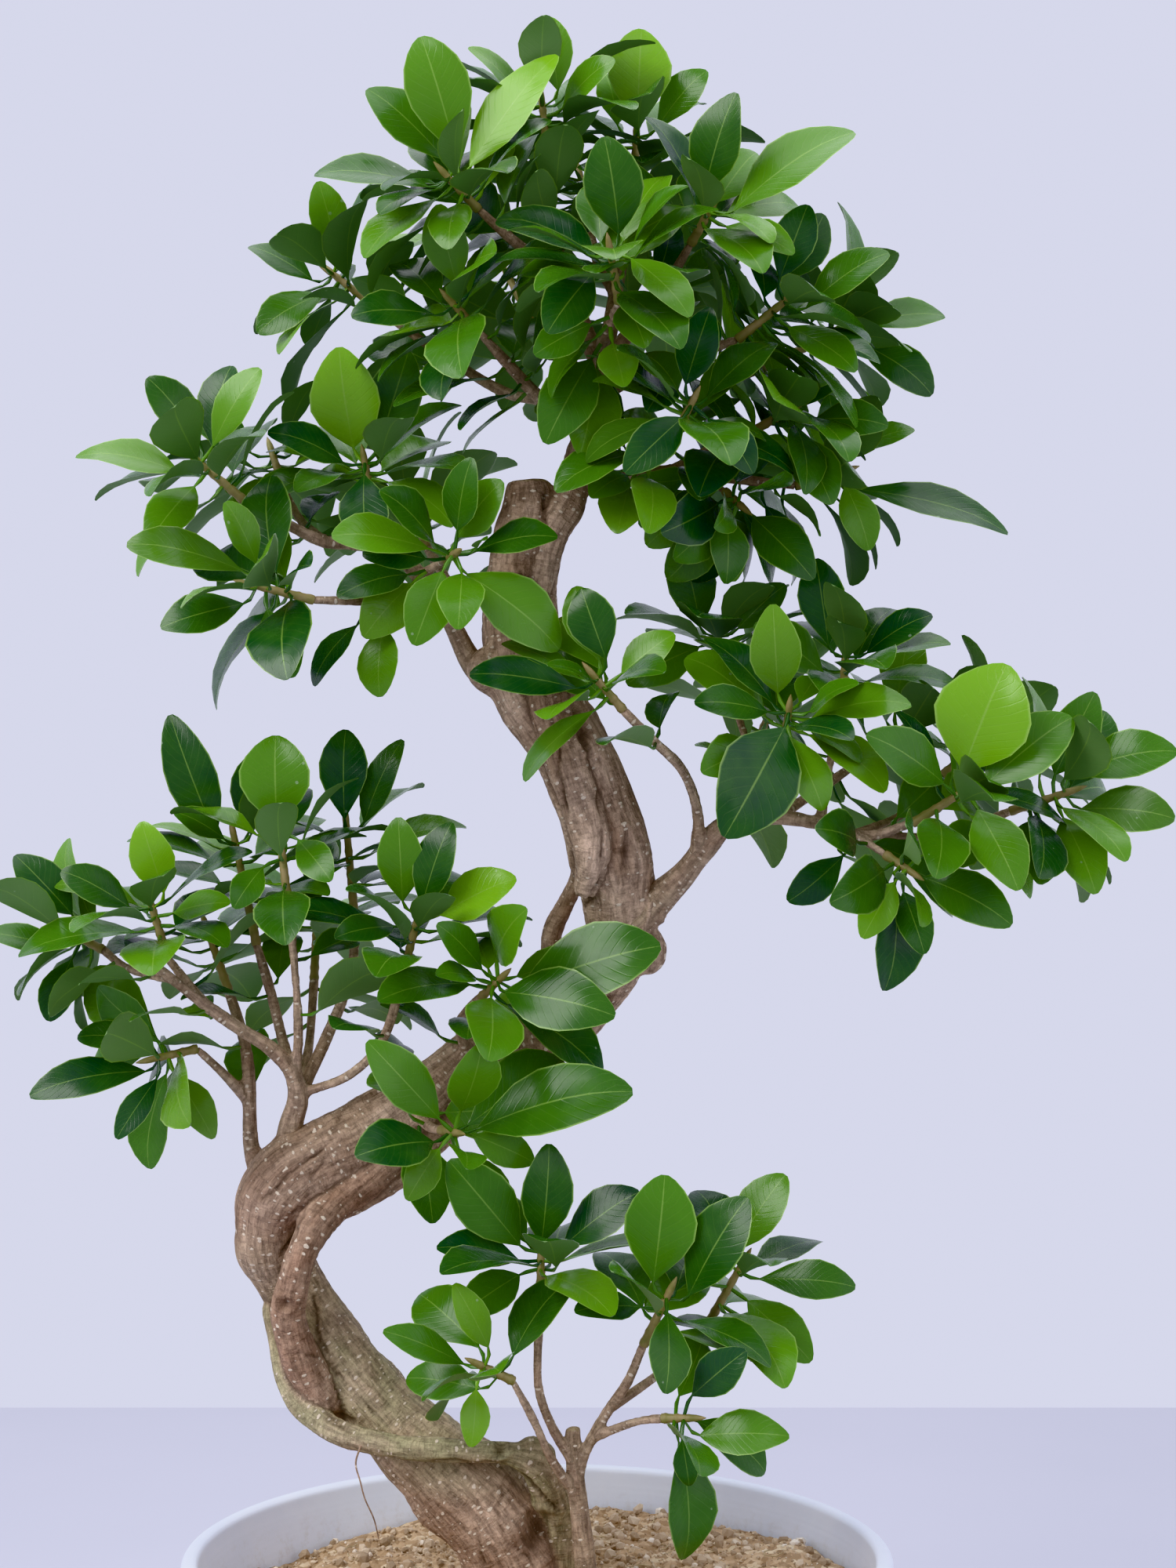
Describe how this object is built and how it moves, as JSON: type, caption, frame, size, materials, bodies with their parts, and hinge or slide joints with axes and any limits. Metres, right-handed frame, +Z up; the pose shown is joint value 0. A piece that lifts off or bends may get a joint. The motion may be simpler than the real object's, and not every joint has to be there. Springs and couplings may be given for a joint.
{
  "type": "bonsai fig tree in a pot",
  "caption": "Potted bonsai fig: S-shaped trunk wrapped by fused aerial roots, pruned limbs carrying glossy leafy shoots, soil in a round plastic pot with a stepped rim.",
  "frame": {"origin": "centre of the pot's flat underside", "axes": "+Z up the tree, +X along the trunk's sideways bend to the viewer's right, -Y to the front"},
  "size_m": [0.536, 0.32, 0.91],
  "materials": {
    "pot": "satin",
    "soil": "matte",
    "bark": "matte",
    "young_bark": "matte",
    "leaf": "satin"
  },
  "bodies": {
    "root": {"crown_01": "leaf", "crown_02": "leaf", "crown_03": "leaf", "crown_04": "leaf", "crown_05": "leaf", "crown_06": "leaf", "crown_07": "leaf", "crown_08": "leaf", "crown_09": "leaf", "crown_10": "leaf", "crown_11": "leaf", "crown_12": "leaf", "crown_13": "leaf", "crown_14": "leaf", "crown_15": "leaf", "crown_16": "leaf", "left_01": "leaf", "left_02": "leaf", "left_03": "leaf", "left_04": "leaf", "left_05": "leaf", "left_06": "leaf", "limb_crown": "young_bark", "limb_left": "young_bark", "limb_low": "young_bark", "limb_outer": "young_bark", "limb_right": "young_bark", "limb_spray": "young_bark", "low_01": "leaf", "low_02": "leaf", "low_03": "leaf", "low_04": "leaf", "low_05": "leaf", "low_06": "leaf", "low_07": "leaf", "low_08": "leaf", "low_09": "leaf", "low_10": "leaf", "low_11": "leaf", "pot": "pot", "right_01": "leaf", "right_02": "leaf", "right_03": "leaf", "right_04": "leaf", "right_05": "leaf", "right_06": "leaf", "right_07": "leaf", "right_08": "leaf", "right_09": "leaf", "right_10": "leaf", "side_01": "leaf", "side_02": "leaf", "side_03": "leaf", "side_04": "leaf", "side_05": "leaf", "side_stem": "young_bark", "soil": "soil", "spur_bend": "young_bark", "spur_loop": "young_bark", "trunk": "bark"}
  },
  "joints": []
}
